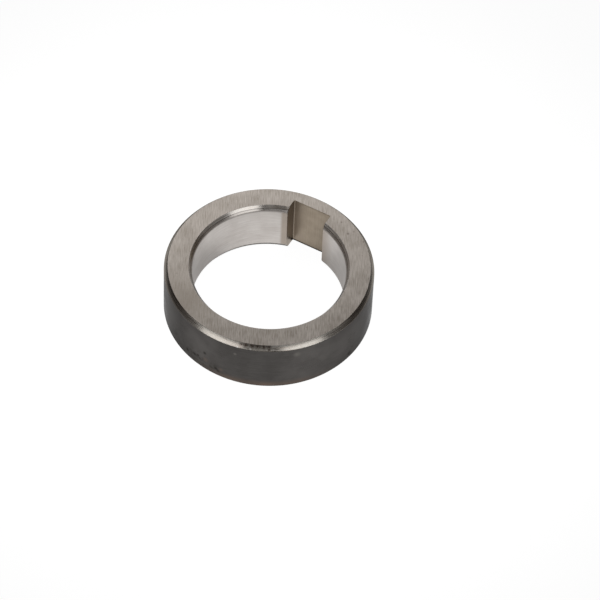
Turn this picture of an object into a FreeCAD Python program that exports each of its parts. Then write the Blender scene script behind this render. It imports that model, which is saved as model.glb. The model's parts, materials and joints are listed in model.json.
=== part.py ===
import FreeCAD, Part
import os
import Sketcher
from FreeCAD import Vector

# Camshaft bushing: one hardened steel ring, turned, ground and broached with a keyway.
# Sizes are in millimetres. The bore axis is Z, the lower end face lies on Z = 0,
# and the keyway opens towards +Y.

# Driving dimensions: name, value, what it measures
driving_sizes = [
    ("BoreDiameter", "60", "ground bore that slides over the shaft"),
    ("WallThickness", "11", "radial, from the bore to the ground outside"),
    ("RingHeight", "24", "from end face to end face"),
    ("OuterLeadDepth", "1.5", "radial size of the lead-in chamfer on the upper outer rim"),
    ("OuterLeadLength", "2", "axial size of the same chamfer"),
    ("OuterBreakDepth", "0.6", "radial size of the smaller chamfer on the lower outer rim"),
    ("OuterBreakLength", "1", "axial size of the same chamfer"),
    ("OuterBlendRadius", "0.6", "round where an outer chamfer meets the outside"),
    ("BoreLeadDepth", "1.4", "radial size of the bore's lead-in chamfers"),
    ("BoreLeadLength", "2.4", "axial size of the bore's lead-in chamfers"),
    ("KeyWidth", "16", "keyway, from wall to wall"),
    ("KeyDepth", "4.4", "keyway floor, outwards from the bore's surface"),
    ("KeyCornerRadius", "0.5", "round between the keyway's floor and its walls"),
]

# Sizes that follow from the driving ones
bore_radius = "Sizes.BoreDiameter / 2"
outer_radius = "Sizes.BoreDiameter / 2 + Sizes.WallThickness"
key_half_width = "Sizes.KeyWidth / 2"
key_floor_distance = "Sizes.BoreDiameter / 2 + Sizes.KeyDepth"
upper_blend_height = "Sizes.RingHeight - Sizes.OuterLeadLength"
lower_blend_height = "Sizes.OuterBreakLength"

# Closeness for recognising an edge by its place
place_tolerance = 1e-4

doc = FreeCAD.newDocument("CamshaftBushing")


def make_sizes_sheet():
    sheet = doc.addObject("Spreadsheet::Sheet", "Sizes")
    for row, (name, value, meaning) in enumerate(driving_sizes, start=1):
        sheet.set(f"A{row}", name)
        sheet.set(f"B{row}", value)
        sheet.setAlias(f"B{row}", name)
        sheet.set(f"C{row}", meaning)
    doc.recompute()
    return sheet


def origin_plane(body, role):
    return next(item for item in body.Origin.OriginFeatures if item.Role == role)


def new_sketch(body, name, role):
    sketch = body.newObject("Sketcher::SketchObject", name)
    sketch.AttachmentSupport = [(origin_plane(body, role), "")]
    sketch.MapMode = "FlatFace"
    return sketch


def add_outline(sketch, corners):
    """Closes a run of straight lines through the corners, given as (x, y) in the sketch."""
    count = len(corners)
    for index, start in enumerate(corners):
        end = corners[(index + 1) % count]
        sketch.addGeometry(Part.LineSegment(Vector(*start, 0), Vector(*end, 0)), False)
    for index in range(count):
        sketch.addConstraint(Sketcher.Constraint("Coincident", index, 2, (index + 1) % count, 1))


def add_named(sketch, name, formula, kind, *where):
    """Adds a named dimension to the sketch and ties it to the sheet."""
    index = sketch.addConstraint(Sketcher.Constraint(kind, *where, sketch.evalExpression(formula)))
    sketch.renameConstraint(index, name)
    sketch.setExpression(f"Constraints.{name}", formula)


def turned_section(body, sheet):
    """Half section of the ring, with a chamfer at each of its four rims."""
    bore = sheet.evalExpression(bore_radius)
    outside = sheet.evalExpression(outer_radius)
    top = sheet.RingHeight
    sketch = new_sketch(body, "TurnedSection", "XZ_Plane")
    corners = [
        (bore + sheet.BoreLeadDepth, 0),
        (outside - sheet.OuterBreakDepth, 0),
        (outside, sheet.OuterBreakLength),
        (outside, top - sheet.OuterLeadLength),
        (outside - sheet.OuterLeadDepth, top),
        (bore + sheet.BoreLeadDepth, top),
        (bore, top - sheet.BoreLeadLength),
        (bore, sheet.BoreLeadLength),
    ]
    add_outline(sketch, corners)
    lower_face, lower_outer, outer_wall, upper_outer, upper_face, upper_bore, bore_wall, lower_bore = range(8)
    horizontal_axis, origin_point = -1, (-1, 1)
    for line in (lower_face, upper_face):
        sketch.addConstraint(Sketcher.Constraint("Horizontal", line))
    for line in (outer_wall, bore_wall):
        sketch.addConstraint(Sketcher.Constraint("Vertical", line))
    sketch.addConstraint(Sketcher.Constraint("PointOnObject", lower_face, 1, horizontal_axis))
    add_named(sketch, "BoreRadius", bore_radius, "DistanceX", *origin_point, bore_wall, 1)
    add_named(sketch, "OuterRadius", outer_radius, "DistanceX", *origin_point, outer_wall, 1)
    add_named(sketch, "Height", "Sizes.RingHeight", "DistanceY", *origin_point, upper_face, 1)
    # Each rim: its line, and the line's ends in outward and in upward order
    rims = [
        ("LowerOuter", lower_outer, "OuterBreak", (1, 2), (1, 2)),
        ("UpperOuter", upper_outer, "OuterLead", (2, 1), (1, 2)),
        ("UpperBore", upper_bore, "BoreLead", (2, 1), (2, 1)),
        ("LowerBore", lower_bore, "BoreLead", (1, 2), (2, 1)),
    ]
    for name, line, lead, (inner, outer), (lower, upper) in rims:
        add_named(sketch, f"{name}Depth", f"Sizes.{lead}Depth", "DistanceX", line, inner, line, outer)
        add_named(sketch, f"{name}Length", f"Sizes.{lead}Length", "DistanceY", line, lower, line, upper)
    return sketch


def turned_ring(body, section):
    ring = body.newObject("PartDesign::Revolution", "TurnedRing")
    ring.Profile = section
    ring.ReferenceAxis = (section, ["V_Axis"])
    ring.Angle = 360
    doc.recompute()
    return ring


def keyway_section(body, sheet):
    """Keyway as seen along the bore, drawn from the middle of the bore out to its floor."""
    half_width = sheet.evalExpression(key_half_width)
    floor_distance = sheet.evalExpression(key_floor_distance)
    sketch = new_sketch(body, "KeywaySection", "XY_Plane")
    corners = [
        (-half_width, 0),
        (half_width, 0),
        (half_width, floor_distance),
        (-half_width, floor_distance),
    ]
    add_outline(sketch, corners)
    inner_side, right_wall, floor, left_wall = range(4)
    horizontal_axis, vertical_axis, origin_point = -1, -2, (-1, 1)
    sketch.addConstraint(Sketcher.Constraint("Horizontal", inner_side))
    for line in (right_wall, left_wall):
        sketch.addConstraint(Sketcher.Constraint("Vertical", line))
    sketch.addConstraint(Sketcher.Constraint("Symmetric", floor, 1, floor, 2, vertical_axis))
    sketch.addConstraint(Sketcher.Constraint("PointOnObject", inner_side, 1, horizontal_axis))
    add_named(sketch, "Width", "Sizes.KeyWidth", "DistanceX", floor, 2, floor, 1)
    add_named(sketch, "FloorDistance", key_floor_distance, "DistanceY", *origin_point, floor, 1)
    return sketch


def broached_keyway(body, section, ring):
    keyway = body.newObject("PartDesign::Pocket", "BroachedKeyway")
    keyway.Profile = section
    keyway.Type = "ThroughAll"
    keyway.Reversed = True
    doc.recompute()
    if keyway.Shape.Volume >= ring.Shape.Volume:
        raise RuntimeError("the keyway cuts nothing from the ring")
    return keyway


def edges_where(feature, wanted):
    edges = enumerate(feature.Shape.Edges, start=1)
    return [f"Edge{number}" for number, edge in edges if wanted(edge)]


def rounded(body, name, base, edges, formula):
    fillet = body.newObject("PartDesign::Fillet", name)
    fillet.Base = (base, edges)
    fillet.setExpression("Radius", formula)
    doc.recompute()
    return fillet


def round_keyway_corners(body, base, sheet):
    half_width = sheet.evalExpression(key_half_width)
    floor_distance = sheet.evalExpression(key_floor_distance)

    def at_floor_corner(vertex):
        across = abs(abs(vertex.X) - half_width)
        return across < place_tolerance and abs(vertex.Y - floor_distance) < place_tolerance

    def is_floor_corner(edge):
        rises = abs(edge.Vertexes[0].Z - edge.Vertexes[-1].Z) > place_tolerance
        return rises and all(at_floor_corner(vertex) for vertex in edge.Vertexes)

    edges = edges_where(base, is_floor_corner)
    return rounded(body, "KeywayCorners", base, edges, "Sizes.KeyCornerRadius")


def blend_outer_chamfers(body, base, sheet):
    outside = sheet.evalExpression(outer_radius)
    heights = [sheet.evalExpression(height) for height in (lower_blend_height, upper_blend_height)]

    def is_outside_rim(edge):
        if not isinstance(edge.Curve, Part.Circle):
            return False
        at_outside = abs(edge.Curve.Radius - outside) < place_tolerance
        return at_outside and any(abs(edge.Curve.Center.z - height) < place_tolerance for height in heights)

    edges = edges_where(base, is_outside_rim)
    return rounded(body, "OuterBlends", base, edges, "Sizes.OuterBlendRadius")


def make_bushing(sheet):
    body = doc.addObject("PartDesign::Body", "Bushing")
    body.Label = "bushing"
    body.Placement = FreeCAD.Placement()
    ring = turned_ring(body, turned_section(body, sheet))
    keyway = broached_keyway(body, keyway_section(body, sheet), ring)
    cornered = round_keyway_corners(body, keyway, sheet)
    blend_outer_chamfers(body, cornered, sheet)
    doc.recompute()
    return body


def check_model(bodies):
    for item in doc.Objects:
        if "Invalid" in item.State or "Error" in item.State:
            raise RuntimeError(f"{item.Label} failed: {item.State}")
        if item.TypeId == "Sketcher::SketchObject" and not item.FullyConstrained:
            raise RuntimeError(f"{item.Label} is not fully constrained")
    for body in bodies:
        if body.Shape.isNull() or not body.Shape.isValid() or len(body.Shape.Solids) != 1:
            raise RuntimeError(f"{body.Label} is not one valid solid")


def write_parts(bodies):
    os.makedirs("parts", exist_ok=True)
    for body in bodies:
        body.Shape.exportStep(f"parts/{body.Label}.step")
        print(body.Label, "volume", round(body.Shape.Volume, 2), "area", round(body.Shape.Area, 2))


parts = [make_bushing(make_sizes_sheet())]
check_model(parts)
write_parts(parts)
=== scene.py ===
import json
import math
import bpy
import numpy as np
from mathutils import Matrix, Vector


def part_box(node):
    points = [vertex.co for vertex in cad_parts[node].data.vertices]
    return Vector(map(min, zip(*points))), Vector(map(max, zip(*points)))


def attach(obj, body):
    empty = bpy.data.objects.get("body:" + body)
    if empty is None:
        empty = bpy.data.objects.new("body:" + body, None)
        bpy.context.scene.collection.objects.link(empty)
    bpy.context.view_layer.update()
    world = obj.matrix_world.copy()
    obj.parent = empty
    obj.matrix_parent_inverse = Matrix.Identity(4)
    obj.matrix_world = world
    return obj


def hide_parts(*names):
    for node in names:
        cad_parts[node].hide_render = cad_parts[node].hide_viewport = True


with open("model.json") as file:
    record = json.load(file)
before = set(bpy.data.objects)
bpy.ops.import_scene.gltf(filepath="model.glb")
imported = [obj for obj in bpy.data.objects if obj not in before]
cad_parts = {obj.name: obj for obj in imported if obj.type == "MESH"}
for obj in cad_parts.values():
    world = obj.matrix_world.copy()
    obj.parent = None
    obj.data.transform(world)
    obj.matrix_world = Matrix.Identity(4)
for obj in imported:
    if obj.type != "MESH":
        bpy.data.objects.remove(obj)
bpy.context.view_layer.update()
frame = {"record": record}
print("frame loaded")

scene = bpy.context.scene
mm = 0.001
mountSizes = {mount["name"]: mount["dims"] for mount in frame["record"]["mounts"]}
boreRadius = mountSizes["bore"]["r_mm"] * mm
outerRadius = mountSizes["outer_running_surface"]["r_mm"] * mm
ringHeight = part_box("bushing")[1].z

# Azimuth, height angle and roll in degrees, distances in metres, lens and sensor width in millimetres
cameraView = {
    "azimuth": 27.87,
    "height": 50.58,
    "roll": -2.07,
    "distance": 1.476,
    "lens": 226.33,
    "sensor": 36,
    "sight": 50,  # nothing farther away shows
    "aimPixel": (268.06, 286.72),  # where the ring's middle shows before the roll
    "frameSize": 600,
}


def awayFrom(azimuth, height):
    # Unit vector from the ring towards a place, from two angles in degrees: sin(azimuth) and -cos(azimuth),
    # both times cos(height), and sin(height) upwards
    azimuth, height = math.radians(azimuth), math.radians(height)
    level = math.cos(height)
    return Vector((math.sin(azimuth) * level, -math.cos(azimuth) * level, math.sin(height)))


def makeCamera(view):
    # The camera looks at the ring's middle, is turned until that point shows at aimPixel,
    # and is then rolled about its own line of sight
    back = awayFrom(view["azimuth"], view["height"])
    right = awayFrom(view["azimuth"] + 90, 0)
    level = Matrix((right, back.cross(right), back))
    half = view["frameSize"] / 2
    pixelFocus = view["lens"] / view["sensor"] * view["frameSize"]
    across, down = view["aimPixel"]
    aim = Vector(((across - half) / pixelFocus, (half - down) / pixelFocus, -1))
    aside = Vector((0, 0, -1)).rotation_difference(aim).to_matrix()
    rolled = Matrix.Rotation(math.radians(view["roll"]), 3, "Z") @ aside @ level
    camera = bpy.data.objects.new("camera", bpy.data.cameras.new("camera"))
    camera.data.lens = view["lens"]
    camera.data.sensor_width = view["sensor"]
    camera.data.clip_end = view["sight"]
    place = Vector((0, 0, ringHeight / 2)) + back * view["distance"]
    camera.matrix_world = Matrix.Translation(place) @ rolled.transposed().to_4x4()
    scene.collection.objects.link(camera)
    scene.camera = camera


makeCamera(cameraView)
print("camera placed")

# Chamfers: the outer lead is the upper one outside, the outer break the lower one, and the bore lead both of
# the bore's. Their depths are radial and their lengths axial.
ringForm = {
    "outerLeadDepth": 1.5 * mm,
    "outerLeadLength": 2.0 * mm,
    "outerBreakDepth": 0.6 * mm,
    "outerBreakLength": 1.0 * mm,
    "outerBlend": 0.6 * mm,  # round where an outer chamfer meets the outside
    "outerCrown": 0.12 * mm,  # how far the outer lead's middle would stand out if it weren't rounded
    "crownShare": 0.8,  # how much of the outer lead that rounding takes
    "boreLeadDepth": 1.4 * mm,
    "boreLeadLength": 2.4 * mm,
    "boreBlend": 1.5 * mm,  # round where a bore lead meets the bore
    "edgeRound": 0.07 * mm,  # round where an end face meets a chamfer
    "darkPast": 0.075 * mm,  # the dark outside goes on this far below the corner of the outer break
    "borePast": 0.05 * mm,  # the bore's finish goes on until its blend is this far out
    "keyHalfWidth": 8 * mm,
    "keyFloor": 34.4 * mm,  # distance from the axis
    "keyCorner": 0.5 * mm,
    "keyBreak": 0.15 * mm,  # quarter round on the keyway's rims in the end faces
    "mouthRound": 0.12 * mm,  # round where a wall of the keyway meets the bore
    # how finely each stretch is divided
    "outlineSteps": {"floor": 20, "corner": 7, "wall": 10, "mouth": 5, "bore": 340},
    "outerSteps": (4, 14, 2, 2),
    "innerSteps": (5, 12, 7),
    "faceLevels": 5,
    "arcSteps": 6,
    "guard": 0.03,  # share of a straight stretch that its end divisions take
}
# Regions of the surface, in the order of the material slots
upperOrLowerFace, outerLead, outside, boreLead, bore, keyway = range(6)


def divided(count, guard):
    # Shares of a straight stretch: even steps, with a narrow one at either end that keeps the shading of
    # the straight part apart from that of the rounds
    return np.concatenate([[guard], np.linspace(0, 1, count + 1)[1:-1], [1 - guard]])


def roundedPath(corners, radii, arcSteps, lineSteps, guard):
    # A path from its first rounded corner to its last. Each corner is an arc that touches both of its sides:
    # it starts radius * tan(turn / 2) before the corner, and its points lie radius * sin(angle) along the
    # first side and radius * (1 - cos(angle)) square to it
    corners = np.array(corners, float)
    radii = np.array(radii, float)[:, None]
    into = np.diff(corners[:-1], axis=0)
    outOf = np.diff(corners[1:], axis=0)
    into /= np.linalg.norm(into, axis=1, keepdims=True)
    outOf /= np.linalg.norm(outOf, axis=1, keepdims=True)
    turn = np.arccos(np.clip((into * outOf).sum(1, keepdims=True), -1, 1))
    starts = corners[1:-1] - into * radii * np.tan(turn / 2)
    side = outOf - into * np.cos(turn)
    side /= np.linalg.norm(side, axis=1, keepdims=True)
    angle = turn[:, None] * np.linspace(0, 1, arcSteps + 1)[None, :, None]
    arcs = starts[:, None] + radii[:, None] * (
        into[:, None] * np.sin(angle) + side[:, None] * (1 - np.cos(angle)))
    pieces = [arcs[0]]
    for before, arc, steps in zip(arcs[:-1], arcs[1:], lineSteps):
        pieces += [before[-1] + (arc[0] - before[-1]) * divided(steps, guard)[:, None], arc]
    return np.concatenate(pieces)


def crowned(start, end, crown, share):
    # A chamfer bows out by the crown at its middle; an arc over a share of it rounds that bow, and its
    # radius is share * halfChord^2 / crown
    halfChord = math.dist(start, end) / 2
    out = (end[1] - start[1]) / halfChord / 2, (start[0] - end[0]) / halfChord / 2
    return [(a + b) / 2 + crown * c for a, b, c in zip(start, end, out)], share * halfChord ** 2 / crown


def ringSection(form):
    # The outside from the lower face's rim up to the upper face's, and the bore back down again,
    # as distance from the axis and height, with the region that each point belongs to
    edge, blend, top = form["edgeRound"], form["outerBlend"], ringHeight
    middle = (boreRadius + outerRadius) / 2
    lower = outerRadius - form["outerBreakDepth"], form["outerBreakLength"]
    leadStart = outerRadius, top - form["outerLeadLength"]
    leadEnd = outerRadius - form["outerLeadDepth"], top
    bow, bowRadius = crowned(leadStart, leadEnd, form["outerCrown"], form["crownShare"])
    outer = roundedPath(
        [(middle, 0), (lower[0], 0), (outerRadius, lower[1]), leadStart, bow, leadEnd, (middle, top)],
        [edge, blend, blend, bowRadius, edge], form["arcSteps"], form["outerSteps"], form["guard"])
    depth, length, boreBlend = form["boreLeadDepth"], form["boreLeadLength"], form["boreBlend"]
    inner = roundedPath(
        [(middle, top), (boreRadius + depth, top), (boreRadius, top - length),
         (boreRadius, length), (boreRadius + depth, 0), (middle, 0)],
        [edge, boreBlend, boreBlend, edge], form["arcSteps"], form["innerSteps"], form["guard"])
    # The dark outside ends two thirds of the way round its blends, since their edges are worn bright, and
    # the bore's finish ends a third to half of the way round its own
    onWall = (outer[:, 1] > lower[1] - form["darkPast"]) & (outer[:, 1] < leadStart[1])
    inBore = inner[:, 0] < boreRadius + form["borePast"]
    return outer, inner, np.where(onWall, outside, outerLead), np.where(inBore, bore, boreLead)


def holeOutline(radius, halfWidth, floor, form):
    # The hole seen from above, for each level: from the middle of the keyway's floor to its corner arc,
    # down the wall, round the mouth and along the bore's circle, then the same mirrored in x
    steps = form["outlineSteps"]
    radius, halfWidth, floor = (value[:, None] for value in (radius, halfWidth, floor))
    corner, mouth = form["keyCorner"], form["mouthRound"]

    def shares(name):
        return np.linspace(0, 1, steps[name], endpoint=False)[None]

    # A mouth's arc touches its wall and the bore, so its centre lies halfWidth + mouth from the keyway's
    # middle and radius + mouth from the axis
    quarter = shares("corner") * math.pi / 2
    mouthHeight = np.sqrt((radius + mouth) ** 2 - (halfWidth + mouth) ** 2)
    wallTop = floor - corner
    meet = np.arctan2(mouthHeight, halfWidth + mouth)
    roundMouth = math.pi + meet * shares("mouth")
    roundBore = meet + (-math.pi / 2 - meet) * np.linspace(0, 1, steps["bore"])[None]
    onFloor = divided(steps["floor"], form["guard"])[None, 1:]
    onWall = divided(steps["wall"], form["guard"])[None]
    x = [0 * floor, (halfWidth - corner) * onFloor, halfWidth - corner + corner * np.sin(quarter),
         halfWidth + 0 * onWall, halfWidth + mouth + mouth * np.cos(roundMouth),
         radius * np.cos(roundBore)]
    y = [floor, floor + 0 * onFloor, wallTop + corner * np.cos(quarter),
         wallTop + (mouthHeight - wallTop) * onWall, mouthHeight + mouth * np.sin(roundMouth),
         radius * np.sin(roundBore)]
    right = np.stack([np.concatenate(x, 1), np.concatenate(y, 1)], -1)
    left = right[:, -2:0:-1] * np.array([-1, 1])
    keyColumns = right.shape[1] - steps["bore"] - steps["mouth"]
    return np.concatenate([right, left], 1), keyColumns


def makeRingMesh(form):
    # Each level is a closed loop round the ring. Its points are a mix of the hole's outline and a circle:
    # none of the circle down the bore, all of it on the outside, and an even blend across the end faces
    outer, inner, outerRegion, innerRegion = ringSection(form)
    count = form["faceLevels"]
    across = np.linspace(0, 1, count + 2)[1:-1]
    face = np.ones(count)
    mix = np.concatenate([across, np.ones(len(outer)), across[::-1], np.zeros(len(inner))])
    rimRadius = np.concatenate([face * outer[0, 0], outer[:, 0], face * outer[-1, 0], inner[:, 0]])
    holeRadius = np.concatenate([face * inner[-1, 0], np.full(len(outer), inner[0, 0]),
                                 face * inner[0, 0], inner[:, 0]])
    height = np.concatenate([0 * face, outer[:, 1], face * ringHeight, inner[:, 1]])
    # The keyway's own rims are broken by a small quarter round: break - sqrt(break^2 - below^2)
    broken = form["keyBreak"]
    below = np.clip(broken - np.minimum(height, ringHeight - height), 0, broken)
    wider = broken - np.sqrt(broken ** 2 - below ** 2)
    hole, keyColumns = holeOutline(holeRadius, form["keyHalfWidth"] + wider, form["keyFloor"] + wider, form)
    turned = np.arctan2(hole[:, :, 1], hole[:, :, 0])
    circle = np.stack([np.cos(turned), np.sin(turned)], -1) * rimRadius[:, None, None]
    flat = hole + (circle - hole) * mix[:, None, None]
    columns = flat.shape[1]
    points = np.concatenate([flat, np.broadcast_to(height[:, None, None], (len(height), columns, 1))], -1)
    # A quad takes the region of the level where it starts, and an end face's where it lies on that face
    region = np.concatenate([np.full(count, upperOrLowerFace), outerRegion,
                             np.full(count, upperOrLowerFace), innerRegion])
    region[count + len(outer) - 1] = region[-1] = upperOrLowerFace
    region = np.repeat(region[:, None], columns, 1)
    column = np.arange(columns)
    inKeyway = (column < keyColumns) | (column >= columns - keyColumns)
    region[2 * count + len(outer):-1, inKeyway] = keyway
    return points, region


def gridFaces(levels, columns):
    # Quads between neighbouring levels and columns, closed both ways
    here = np.arange(levels * columns).reshape(levels, columns)
    beside = np.roll(here, -1, 1)
    return np.stack([here, np.roll(here, -1, 0), np.roll(beside, -1, 0), beside], -1).reshape(-1, 4)


def meshFromGrid(name, points, region, materials):
    faces = gridFaces(*points.shape[:2])
    mesh = bpy.data.meshes.new(name)
    mesh.vertices.add(points.shape[0] * points.shape[1])
    mesh.vertices.foreach_set("co", points.ravel().astype(np.float32))
    mesh.loops.add(faces.size)
    mesh.loops.foreach_set("vertex_index", faces.ravel().astype(np.int32))
    mesh.polygons.add(len(faces))
    mesh.polygons.foreach_set("loop_start", np.arange(0, faces.size, 4, dtype=np.int32))
    for material in materials:
        mesh.materials.append(material)
    mesh.polygons.foreach_set("material_index", region.ravel().astype(np.int32))
    mesh.polygons.foreach_set("use_smooth", region.ravel() != upperOrLowerFace)
    mesh.update(calc_edges=True)
    mesh.validate()
    piece = bpy.data.objects.new(name, mesh)
    scene.collection.objects.link(piece)
    return piece


def addNode(tree, kind, inputs, output=0, **settings):
    # Makes a shader node, sets or links its inputs and gives back one of its outputs
    made = tree.nodes.new(kind)
    for name, value in settings.items():
        setattr(made, name, value)
    for name, value in inputs.items():
        if isinstance(value, bpy.types.NodeSocket):
            tree.links.new(value, made.inputs[name])
        else:
            made.inputs[name].default_value = value
    return made.outputs[output]


def calc(tree, operation, first, second=0.0):
    return addNode(tree, "ShaderNodeMath", {0: first, 1: second}, operation=operation)


def spread(tree, value, fromLow, fromHigh, toLow, toHigh):
    # Smooth step from one range to another
    return addNode(tree, "ShaderNodeMapRange", {0: value, 1: fromLow, 2: fromHigh, 3: toLow, 4: toHigh},
                   interpolation_type="SMOOTHSTEP")


def mixTones(tree, share, first, second):
    # A tone is a colour or a node's output
    first, second = ((*tone, 1) if isinstance(tone, tuple) else tone for tone in (first, second))
    return addNode(tree, "ShaderNodeMix", {0: share, 6: first, 7: second}, output=2, data_type="RGBA")


def noise(tree, place, scale, detail, roughness):
    return addNode(tree, "ShaderNodeTexNoise",
                   {"Vector": place, "Scale": scale, "Detail": detail, "Roughness": roughness})


def placeInMillimetres(tree):
    where = addNode(tree, "ShaderNodeTexCoord", {}, output="Object")
    return addNode(tree, "ShaderNodeVectorMath", {0: where, "Scale": 1 / mm}, operation="SCALE")


def coordinate(tree, place, axis):
    return addNode(tree, "ShaderNodeSeparateXYZ", {0: place}, output=axis)


def roundTheAxis(tree, place, slow, fast):
    # Place for lines that run round the axis: it changes slowly with the direction from the axis, and fast
    # with the height
    flat = addNode(tree, "ShaderNodeVectorMath", {0: place, 1: (1, 1, 0)}, operation="MULTIPLY")
    direction = addNode(tree, "ShaderNodeVectorMath", {0: flat}, operation="NORMALIZE")
    slowly = addNode(tree, "ShaderNodeVectorMath", {0: direction, "Scale": slow}, operation="SCALE")
    lifted = addNode(tree, "ShaderNodeVectorMath", {0: place, 1: (0, 0, fast)}, operation="MULTIPLY")
    return addNode(tree, "ShaderNodeVectorMath", {0: slowly, 1: lifted}, operation="ADD")


def closeTo(tree, place, centre, reach):
    # 1 at the centre and 0 from reach onwards, in millimetres
    distance = addNode(tree, "ShaderNodeVectorMath", {0: place, 1: centre}, output="Value",
                       operation="DISTANCE")
    return spread(tree, distance, 0.0, reach, 1.0, 0.0)


def marked(tree, place, tone, marks, markTone, share=1.0):
    # Spots of another tone; each mark is its centre and how far it reaches
    for centre, reach in marks:
        spot = calc(tree, "MULTIPLY", closeTo(tree, place, centre, reach), share)
        tone = mixTones(tree, spot, tone, markTone)
    return tone


def cloudedTone(tree, lines, clouds, finish):
    # From the darker tone to the lighter one: the machining lines take their share of the way, and soft
    # clouds the rest
    byLines = spread(tree, lines, *finish["lineSpan"], 0.0, finish["lineShare"])
    byClouds = spread(tree, clouds, *finish["cloudSpan"], 0.0, 1 - finish["lineShare"])
    return mixTones(tree, calc(tree, "ADD", byLines, byClouds), *finish["tones"])


def steelMaterial(name, acrossLines, stretch, edgeTint=1.0):
    # Fine machining lines stretch the reflections across themselves, in the given direction
    material = bpy.data.materials.new(name)
    material.use_nodes = True
    tree = material.node_tree
    shader = tree.nodes["Principled BSDF"]
    shader.inputs["Metallic"].default_value = 1
    shader.inputs["Specular Tint"].default_value = (edgeTint, edgeTint, edgeTint, 1)
    shader.inputs["Anisotropic"].default_value = stretch
    across = addNode(tree, "ShaderNodeCombineXYZ", dict(enumerate(acrossLines)))
    tree.links.new(across, shader.inputs["Tangent"])
    return material, tree, shader


def finishSteel(tree, shader, tone, roughness, relief, depth):
    tree.links.new(tone, shader.inputs["Base Color"])
    tree.links.new(roughness, shader.inputs["Roughness"])
    bump = addNode(tree, "ShaderNodeBump", {"Height": relief, "Distance": depth, "Strength": 1.0})
    tree.links.new(bump, shader.inputs["Normal"])


# In every finish, lines, clouds, grime and names that end in Noise are a noise's scale, detail and roughness.
# A span is the part of a noise's values that counts, and a share is how much shows. Marks such as pits, dirt,
# nicks, stains, painted shade, painted light and painted highlights are a centre and a reach in millimetres.
# Stretch is how far the lines draw out reflections, edgeTint how bright the steel is at a glancing angle, and
# depth the relief of the lines.
usualSpan = (0.3, 0.7)  # nearly all values of a noise lie in it

groundFinish = {
    "tones": ((0.27, 0.238, 0.205), (0.50, 0.454, 0.414)),
    "lines": (1.0, 4.0, 0.6),
    "lineSpan": (0.32, 0.68),
    "lineShare": 0.75,
    "strokeTurn": 27.87,  # the grinding strokes run this many degrees from the keyway's middle line
    "strokeSize": (0.36, 4.5, 1.0),  # millimetres across and along them, and upwards
    "clouds": (0.12, 3.0, 0.55),
    "cloudSpan": (0.35, 0.65),
    "dullTone": (0.27, 0.236, 0.20),
    "dullShare": 0.7,
    "dull": (((-19.2, -30.5, 24.0), 17.0),),
    "speckTone": (0.20, 0.17, 0.15),
    "speckNoise": (0.9, 2.0, 0.55),
    "speckSpan": (0.68, 0.76),
    "speckShare": 0.5,
    "pits": (((18.5, 30.0, 24.0), 0.8), ((20.0, 32.0, 24.0), 0.6), ((13.5, 33.9, 24.0), 0.6),
             ((25.8, 29.5, 24.0), 0.7)),
    "stretch": 0.5,
    "roughness": (0.28, 0.38),
    "depth": 0.0025 * mm,
}


def groundFaceSteel(finish):
    acrossStrokes = awayFrom(finish["strokeTurn"] + 90, 0)
    material, tree, shader = steelMaterial("groundFace", acrossStrokes, finish["stretch"])
    place = placeInMillimetres(tree)
    turn = (0, 0, math.radians(finish["strokeTurn"]))
    along = addNode(tree, "ShaderNodeMapping",
                    {"Vector": place, "Rotation": turn, "Scale": finish["strokeSize"]}, vector_type="TEXTURE")
    strokes = noise(tree, along, *finish["lines"])
    clouds = noise(tree, place, *finish["clouds"])
    specks = noise(tree, place, *finish["speckNoise"])
    specked = spread(tree, specks, *finish["speckSpan"], 0.0, finish["speckShare"])
    tone = cloudedTone(tree, strokes, clouds, finish)
    tone = marked(tree, place, tone, finish["dull"], finish["dullTone"], finish["dullShare"])
    tone = mixTones(tree, specked, tone, finish["speckTone"])
    tone = marked(tree, place, tone, finish["pits"], finish["speckTone"])
    roughness = spread(tree, strokes, *usualSpan, *finish["roughness"])
    finishSteel(tree, shader, tone, roughness, strokes, finish["depth"])
    return material


turnedFinish = {
    "tones": ((0.36, 0.31, 0.275), (0.56, 0.535, 0.49)),
    "lines": (1.0, 3.0, 0.55),
    "lineRun": (3.0, 5.0),  # how fast the lines change round the axis, and with the height
    "lineSpan": (0.3, 0.6),
    "grime": (0.35, 4.0, 0.6),
    "grimeSpan": (0.5, 0.72),
    "grimeShare": 0.4,
    "edgeTint": 0.12,
    # dirt and painted shade beside the upper rim, where it mirrors the dark gap between the lamps, uneven by
    # its own noise
    "dirtAndPaintedShadeTone": (0.09, 0.062, 0.048),
    "dirtAndPaintedShade": (((9.8, -38.8, 23.6), 1.3), ((11.4, -38.3, 23.5), 1.7), ((13.6, -37.5, 23.5), 1.9),
             ((15.7, -36.6, 23.5), 2.1), ((17.8, -35.6, 23.5), 1.9), ((19.5, -34.8, 23.5), 1.5),
             ((19.9, -35.4, 22.6), 0.7)),
    "dirtAndPaintedShadeNoise": (1.2, 3.0, 0.6),
    "dirtAndPaintedShadeSpan": (0.30, 0.50),
    "dirtAndPaintedShadeShare": (0.25, 1.0),
    # painted shade on long stretches of the outer chamfer, left and right, where it mirrors the dark room
    "paintedShadeTone": (0.25, 0.219, 0.192),
    "paintedShadeSides": (((-22.6, -33.3, 22.6), 24.0), ((40.2, -2.1, 22.6), 24.0)),
    "nickTone": (0.85, 0.83, 0.80),
    "nicks": (((13.5, -38.4, 22.4), 0.6), ((8.6, -40.1, 22.1), 0.6), ((21.2, -34.4, 22.4), 0.7)),
    "stretch": 0.3,
    "roughness": (0.20, 0.30),
    "depth": 0.003 * mm,
}
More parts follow.
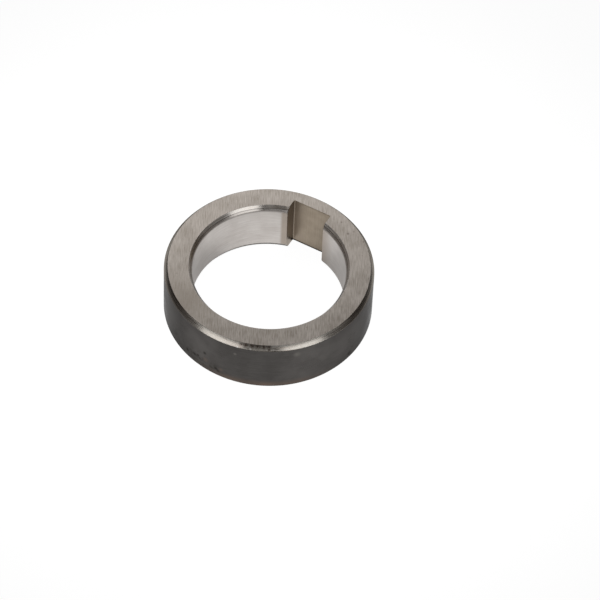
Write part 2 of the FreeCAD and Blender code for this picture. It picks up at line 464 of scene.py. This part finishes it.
boreLeadFinish = {
    **turnedFinish,
    "tones": ((0.58, 0.53, 0.485), (0.71, 0.685, 0.65)),
    "edgeTint": 0.3,
    # on the bore lead these marks are painted shade at the back, where it mirrors the dark gap between the
    # low lamps
    "dirtAndPaintedShadeTone": (0.24, 0.205, 0.175),
    "dirtAndPaintedShade": (((-9.0, 29.6, 22.9), 3.2), ((-12.3, 28.4, 23.3), 4.8)),
    "dirtAndPaintedShadeShare": (0.65, 0.8),
    "nicks": (),
    "paintedShadeSides": (),
    # painted reflection of the dark room: a thin dark line round the chamfer, its height in millimetres; the
    # surface is duller from there down
    "paintedLineHeight": 22.72,
    "paintedLineReach": (0.04, 0.20),  # it is full up to here on either side, and gone from there on
    "paintedLineShare": 0.7,
    "paintedLineTone": (0.12, 0.105, 0.095),
    "dullTone": (0.56, 0.525, 0.495),
    "dullRoughness": ((22.3, 0.0), (21.7, 0.50)),  # height and least roughness, towards the bore
    "depth": 0.0008 * mm,
}


def withPaintedLine(tree, height, tone, roughness, finish):
    # Tone and roughness with the painted dark reflection line drawn over them, and the duller surface below
    # it
    below = calc(tree, "LESS_THAN", height, finish["paintedLineHeight"])
    tone = mixTones(tree, below, tone, finish["dullTone"])
    beside = calc(tree, "ABSOLUTE", calc(tree, "SUBTRACT", height, finish["paintedLineHeight"]))
    paintedLine = spread(tree, beside, *finish["paintedLineReach"], finish["paintedLineShare"], 0.0)
    (upper, least), (lower, most) = finish["dullRoughness"]
    dull = spread(tree, height, lower, upper, most, least)
    return mixTones(tree, paintedLine, tone, finish["paintedLineTone"]), calc(tree, "MAXIMUM", roughness, dull)


def turnedSteel(name, finish):
    material, tree, shader = steelMaterial(name, (0, 0, 1), finish["stretch"], finish["edgeTint"])
    place = placeInMillimetres(tree)
    lines = noise(tree, roundTheAxis(tree, place, *finish["lineRun"]), *finish["lines"])
    grime = noise(tree, place, *finish["grime"])
    grimy = spread(tree, grime, *finish["grimeSpan"], 0.0, finish["grimeShare"])
    tone = mixTones(tree, spread(tree, lines, *finish["lineSpan"], 0.0, 1.0), *finish["tones"])
    tone = mixTones(tree, grimy, tone, finish["tones"][0])
    # painted shade on the outer chamfer's sides, where it mirrors the dark room
    tone = marked(tree, place, tone, finish["paintedShadeSides"], finish["paintedShadeTone"])
    # dirt and painted shade beside the rim, where the chamfer mirrors the dark gap between the lamps
    uneven = spread(tree, noise(tree, place, *finish["dirtAndPaintedShadeNoise"]), *finish["dirtAndPaintedShadeSpan"], *finish["dirtAndPaintedShadeShare"])
    tone = marked(tree, place, tone, finish["dirtAndPaintedShade"], finish["dirtAndPaintedShadeTone"], uneven)
    tone = marked(tree, place, tone, finish["nicks"], finish["nickTone"])
    roughness = spread(tree, lines, *usualSpan, *finish["roughness"])
    # the bore lead gets a painted dark line, a painted reflection of the dark room
    if "paintedLineHeight" in finish:
        tone, roughness = withPaintedLine(tree, coordinate(tree, place, "Z"), tone, roughness, finish)
    finishSteel(tree, shader, tone, roughness, lines, finish["depth"])
    return material


outsideFinish = {
    "tones": ((0.052, 0.048, 0.046), (0.088, 0.083, 0.079)),
    "lines": (1.0, 4.0, 0.6),
    "lineRun": (6.0, 2.5),
    "lineSpan": usualSpan,
    "lineShare": 0.35,
    "clouds": (0.10, 4.0, 0.6),
    "cloudSpan": usualSpan,
    # painted light: large areas a little lighter below the chamfer's highlights, where the low lamps light
    # the wall
    "paintedLampLightTone": (0.115, 0.108, 0.103),
    "paintedLampLightShare": (0.4, 1.0),
    "paintedLampLight": (((-8.0, -40.2, 13.0), 17.0), ((-28.0, -30.0, 13.0), 15.0), ((33.0, -24.3, 13.0), 19.0),
             ((40.4, -7.0, 13.0), 13.0)),
    "stainTone": (0.045, 0.041, 0.036),
    "stains": (((-8.5, -40.0, 5.0), 7.0), ((-1.0, -41.0, 4.0), 5.0), ((-20.0, -36.0, 6.0), 8.0)),
    "stainNoise": (0.45, 5.0, 0.65),
    "stainSpan": (0.42, 0.62),
    "stainShare": 0.85,
    "speckTone": (0.018, 0.016, 0.014),
    "speckShare": 0.8,
    "specks": (((-10.3, -39.7, 5.6), 1.3), ((-5.3, -40.7, 10.3), 1.2), ((-0.1, -41.0, 4.5), 1.2),
               ((-14.2, -38.5, 4.6), 1.3), ((0.9, -41.0, 3.5), 1.2), ((-8.6, -40.1, 6.4), 0.9),
               ((40.3, -7.4, 3.4), 1.6)),
    # painted highlights: small lighter spots high on the front of the wall
    "paintedHighlightTone": (0.13, 0.122, 0.113),
    "paintedHighlights": (((7.8, -40.3, 17.7), 1.0), ((28.9, -29.1, 18.9), 2.2)),
    # brown rust spots, and a painted warm reflection of the floor along the lower rim that fades upwards and
    # away from its place; both take the same brown
    "rustAndPaintedReflection": (0.16, 0.113, 0.088),
    "brownSpots": (((2.1, -40.9, 5.0), 1.4), ((-4.9, -40.7, 6.6), 1.8)),
    "brownShare": 0.35,
    "paintedReflectionHeights": (0.6, 4.6),
    "paintedReflectionSpan": (0.3, 0.6),
    "paintedReflectionShare": (0.3, 0.9),
    "paintedReflectionPlace": (17.9, -36.9, 2.0),
    "paintedReflectionReach": 34.0,
    "edgeTint": 0.5,
    "stretch": 0.3,
    "roughness": (0.26, 0.40),
    "depth": 0.004 * mm,
}


def hardenedSteel(finish):
    name, upwards = "hardenedOutside", (0, 0, 1)
    material, tree, shader = steelMaterial(name, upwards, finish["stretch"], finish["edgeTint"])
    place = placeInMillimetres(tree)
    lines = noise(tree, roundTheAxis(tree, place, *finish["lineRun"]), *finish["lines"])
    clouds = noise(tree, place, *finish["clouds"])
    tone = cloudedTone(tree, lines, clouds, finish)
    # painted light from the low lamps on the wall, uneven by the clouds
    uneven = spread(tree, clouds, *finish["cloudSpan"], *finish["paintedLampLightShare"])
    tone = marked(tree, place, tone, finish["paintedLampLight"], finish["paintedLampLightTone"], uneven)
    stain = noise(tree, place, *finish["stainNoise"])
    ragged = spread(tree, stain, *finish["stainSpan"], 0.0, finish["stainShare"])
    tone = marked(tree, place, tone, finish["stains"], finish["stainTone"], ragged)
    tone = marked(tree, place, tone, finish["brownSpots"], finish["rustAndPaintedReflection"], finish["brownShare"])
    tone = marked(tree, place, tone, finish["specks"], finish["speckTone"], finish["speckShare"])
    # painted highlights on the wall
    tone = marked(tree, place, tone, finish["paintedHighlights"], finish["paintedHighlightTone"])
    # painted reflection of the floor along the lower rim, lighter and browner than the wall
    low = spread(tree, coordinate(tree, place, "Z"), *finish["paintedReflectionHeights"], 1.0, 0.0)
    paintedReflection = calc(tree, "MULTIPLY", low, spread(tree, clouds, *finish["paintedReflectionSpan"], *finish["paintedReflectionShare"]))
    paintedReflection = calc(tree, "MULTIPLY", paintedReflection, closeTo(tree, place, finish["paintedReflectionPlace"], finish["paintedReflectionReach"]))
    tone = mixTones(tree, paintedReflection, tone, finish["rustAndPaintedReflection"])
    roughness = spread(tree, clouds, *usualSpan, *finish["roughness"])
    finishSteel(tree, shader, tone, roughness, lines, finish["depth"])
    return material


boreFinish = {
    "tones": ((0.50, 0.46, 0.432), (0.68, 0.645, 0.614)),
    "lines": (1.0, 4.0, 0.6),
    "lineRun": (4.0, 3.0),
    "lineSpan": usualSpan,
    "lineShare": 0.6,
    "clouds": (0.15, 3.0, 0.55),
    "cloudSpan": usualSpan,
    # beside the keyway the bore is browner: on the left and on the right, how far from the keyway's middle
    # the brown starts to fade and is gone, in millimetres, and how much of it shows
    "browned": (0.385, 0.328, 0.278),
    "brownedLeft": (9.6, 10.9),
    "brownedRight": (7.6, 14.0),
    "brownedShare": (0.9, 0.8),
    "stretch": 0.6,
    "roughness": (0.28, 0.38),
    "depth": 0.002 * mm,
}


def boreSteel(finish):
    material, tree, shader = steelMaterial("groundBore", (0, 0, 1), finish["stretch"])
    place = placeInMillimetres(tree)
    lines = noise(tree, roundTheAxis(tree, place, *finish["lineRun"]), *finish["lines"])
    clouds = noise(tree, place, *finish["clouds"])
    tone = cloudedTone(tree, lines, clouds, finish)
    x, y = coordinate(tree, place, "X"), coordinate(tree, place, "Y")
    fullLeft, goneLeft = finish["brownedLeft"]
    leftShare, rightShare = finish["brownedShare"]
    onLeft = calc(tree, "MULTIPLY", calc(tree, "LESS_THAN", x, 0.0),
                  spread(tree, x, -goneLeft, -fullLeft, 0.0, leftShare))
    onRight = calc(tree, "MULTIPLY", calc(tree, "GREATER_THAN", x, 0.0),
                   spread(tree, x, *finish["brownedRight"], rightShare, 0.0))
    beside = calc(tree, "MULTIPLY", calc(tree, "ADD", onLeft, onRight), calc(tree, "GREATER_THAN", y, 0.0))
    tone = mixTones(tree, beside, tone, finish["browned"])
    roughness = spread(tree, lines, *usualSpan, *finish["roughness"])
    finishSteel(tree, shader, tone, roughness, lines, finish["depth"])
    return material


keywayFinish = {
    "tones": ((0.275, 0.225, 0.172), (0.385, 0.322, 0.25)),
    "lines": (1.0, 3.0, 0.55),
    "lineScale": (3.0, 3.0, 0.12),  # the broached lines are fine across and long up the keyway
    "lineSpan": usualSpan,
    "lineShare": 0.6,
    "clouds": (0.25, 3.0, 0.55),
    "cloudSpan": usualSpan,
    # its left part is darker: fullest at the left wall, and gone near the middle
    "shade": (0.27, 0.222, 0.178),
    "shadeFrom": (-8.0, -1.0),
    "shadeShare": 0.6,
    "stretch": 0.4,
    "roughness": (0.30, 0.42),
    "depth": 0.004 * mm,
}


def keywaySteel(finish):
    material, tree, shader = steelMaterial("broachedKeyway", (1, 1, 0), finish["stretch"])
    place = placeInMillimetres(tree)
    along = addNode(tree, "ShaderNodeMapping", {"Vector": place, "Scale": finish["lineScale"]})
    lines = noise(tree, along, *finish["lines"])
    clouds = noise(tree, place, *finish["clouds"])
    tone = cloudedTone(tree, lines, clouds, finish)
    shaded = spread(tree, coordinate(tree, place, "X"), *finish["shadeFrom"], finish["shadeShare"], 0.0)
    tone = mixTones(tree, shaded, tone, finish["shade"])
    roughness = spread(tree, lines, *usualSpan, *finish["roughness"])
    finishSteel(tree, shader, tone, roughness, lines, finish["depth"])
    return material


steels = [
    groundFaceSteel(groundFinish),
    turnedSteel("turnedOuterLead", turnedFinish),
    hardenedSteel(outsideFinish),
    turnedSteel("turnedBoreLead", boreLeadFinish),
    boreSteel(boreFinish),
    keywaySteel(keywayFinish),
]
print("steels made")
ring = meshFromGrid("steel_ring", *makeRingMesh(ringForm), steels)
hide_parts("bushing")
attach(ring, "root")
print("ring made,", len(ring.data.polygons), "quads")

studio = {
    "floorSize": 30.0,
    "floorGap": 0.02 * mm,
    "floorTone": 0.2,
    "floorRoughness": 0.9,
    "floorGlow": 0.96,
    "glowReach": (0.07, 0.22),  # metal sees the floor's glow up to here, and fading to there
    "farShare": 0.06,  # and this much of it beyond
    # the ring's own shade on the floor, as metal sees it: where it starts inside and ends outside
    "shadeStart": (0.0297, 0.0306),
    "shadeEnd": (0.0400, 0.0415),
    # the floor in the keyway glows as that inside the ring does
    "slotWidth": 0.016,
    "slotEnd": 0.0338,
    # inside the ring the far side of the floor is the brightest: cosine of the angle to it, and shares
    "farCosine": (0.70, 1.07),
    "farSideShare": (0.48, 1.02),
    # direction's upward part, and the room's colour there
    "room": ((0.0, (0.045, 0.040, 0.036)), (0.26, (0.045, 0.040, 0.036)), (0.46, (0.14, 0.137, 0.134)),
             (0.65, (0.18, 0.18, 0.18)), (0.85, (0.30, 0.30, 0.30)), (1.0, (0.40, 0.40, 0.40))),
    # in the camera's view the outer chamfer mirrors the low lamps and the upper face farSide; the high lamps
    # light that face in other views
    "lamps": (
        # name, azimuth, height angle, distance, width, height, radiance
        ("leftFront", -14, 13.2, 1.2, 0.85, 0.54, 1.5),
        ("rightFront", 61, 13.2, 1.2, 0.78, 0.54, 1.5),
        ("farSide", 223, 38, 0.5, 0.40, 0.30, 1.08),
        ("betweenFront", 23, 12, 1.2, 0.42, 0.44, 0.30),
        ("rightEdge", 97, 11, 1.2, 0.50, 0.40, 0.10),
        ("leftEdge", -50, 11, 1.2, 0.40, 0.40, 0.08),
        ("rightHigh", 121, 36, 1.2, 1.10, 0.42, 0.55),
        ("leftHigh", -70, 36, 1.2, 1.10, 0.42, 0.55),
        ("backHigh", 172, 36, 1.2, 0.90, 0.42, 0.55),
    ),
}


def makeLamp(name, azimuth, height, distance, width, tall, radiance):
    # A lamp's power is its radiance times pi times its area
    outwards = awayFrom(azimuth, height)
    light = bpy.data.lights.new(name, "AREA")
    light.shape = "RECTANGLE"
    light.size, light.size_y = width, tall
    light.energy = radiance * math.pi * width * tall
    lamp = bpy.data.objects.new(name, light)
    lamp.location = outwards * distance
    lamp.rotation_euler = outwards.to_track_quat("Z", "Y").to_euler()
    lamp.visible_camera = False
    scene.collection.objects.link(lamp)


def makeRoom(colours):
    # The room's colour depends only on how far upwards a direction points
    world = bpy.data.worlds.new("studio")
    scene.world = world
    world.use_nodes = True
    tree = world.node_tree
    upwards = coordinate(tree, addNode(tree, "ShaderNodeTexCoord", {}, output="Generated"), "Z")
    ramp = tree.nodes.new("ShaderNodeValToRGB")
    ramp.color_ramp.interpolation = "EASE"
    ramp.color_ramp.elements.remove(ramp.color_ramp.elements[1])
    ramp.color_ramp.elements[0].color = (*colours[0][1], 1)
    for place, colour in colours[1:]:
        ramp.color_ramp.elements.new(place).color = (*colour, 1)
    tree.links.new(upwards, ramp.inputs[0])
    tree.links.new(ramp.outputs[0], tree.nodes["Background"].inputs["Color"])


def floorGlow(tree, where, distance, near, settings):
    # The camera sees all of the floor glow. Metal and glass see it glow near the ring, but not in the ring's
    # own shade, and less on the near side inside the ring
    isCamera, isGlossy, isTransmission = (addNode(tree, "ShaderNodeLightPath", {}, output=f"Is {ray} Ray")
                                          for ray in ("Camera", "Glossy", "Transmission"))
    x, y = coordinate(tree, where, "X"), coordinate(tree, where, "Y")
    acrossSlot = calc(tree, "LESS_THAN", calc(tree, "ABSOLUTE", x), settings["slotWidth"] / 2)
    alongSlot = calc(tree, "MULTIPLY", calc(tree, "GREATER_THAN", y, 0.0),
                     calc(tree, "LESS_THAN", y, settings["slotEnd"]))
    inSlot = calc(tree, "MULTIPLY", acrossSlot, alongSlot)
    inRing = spread(tree, distance, *settings["shadeStart"], 1.0, 0.0)
    beyond = spread(tree, distance, *settings["shadeEnd"], 0.0, 1.0)
    direction = addNode(tree, "ShaderNodeVectorMath", {0: where}, operation="NORMALIZE")
    farCosine = addNode(tree, "ShaderNodeVectorMath", {0: direction, 1: -awayFrom(cameraView["azimuth"], 0)},
                        output="Value", operation="DOT_PRODUCT")
    farSide = spread(tree, farCosine, *settings["farCosine"], *settings["farSideShare"])
    clear = calc(tree, "ADD", calc(tree, "MULTIPLY", calc(tree, "MAXIMUM", inRing, inSlot), farSide), beyond)
    seen = calc(tree, "MULTIPLY", calc(tree, "MAXIMUM", isGlossy, isTransmission),
                calc(tree, "MULTIPLY", near, clear))
    return calc(tree, "MULTIPLY", calc(tree, "MAXIMUM", isCamera, seen), settings["floorGlow"])


def makeFloor(settings):
    half = settings["floorSize"] / 2
    mesh = bpy.data.meshes.new("floor")
    corners = [(-half, -half, 0), (half, -half, 0), (half, half, 0), (-half, half, 0)]
    mesh.from_pydata(corners, [], [(0, 1, 2, 3)])
    floor = bpy.data.objects.new("floor", mesh)
    floor.location.z = -settings["floorGap"]
    scene.collection.objects.link(floor)
    material = bpy.data.materials.new("paleFloor")
    material.use_nodes = True
    tree = material.node_tree
    shader = tree.nodes["Principled BSDF"]
    shader.inputs["Roughness"].default_value = settings["floorRoughness"]
    shader.inputs["Specular IOR Level"].default_value = 0
    shader.inputs["Emission Color"].default_value = (1, 1, 1, 1)
    where = addNode(tree, "ShaderNodeTexCoord", {}, output="Object")
    distance = addNode(tree, "ShaderNodeVectorMath", {0: where}, output="Value", operation="LENGTH")
    near = spread(tree, distance, *settings["glowReach"], 1.0, settings["farShare"])
    glow = floorGlow(tree, where, distance, near, settings)
    tree.links.new(glow, shader.inputs["Emission Strength"])
    tree.links.new(mixTones(tree, near, (0, 0, 0), (settings["floorTone"],) * 3), shader.inputs["Base Color"])
    mesh.materials.append(material)


for lamp in studio["lamps"]:
    makeLamp(*lamp)
makeRoom(studio["room"])
makeFloor(studio)
scene.view_settings.view_transform = "Standard"
print("studio lit")
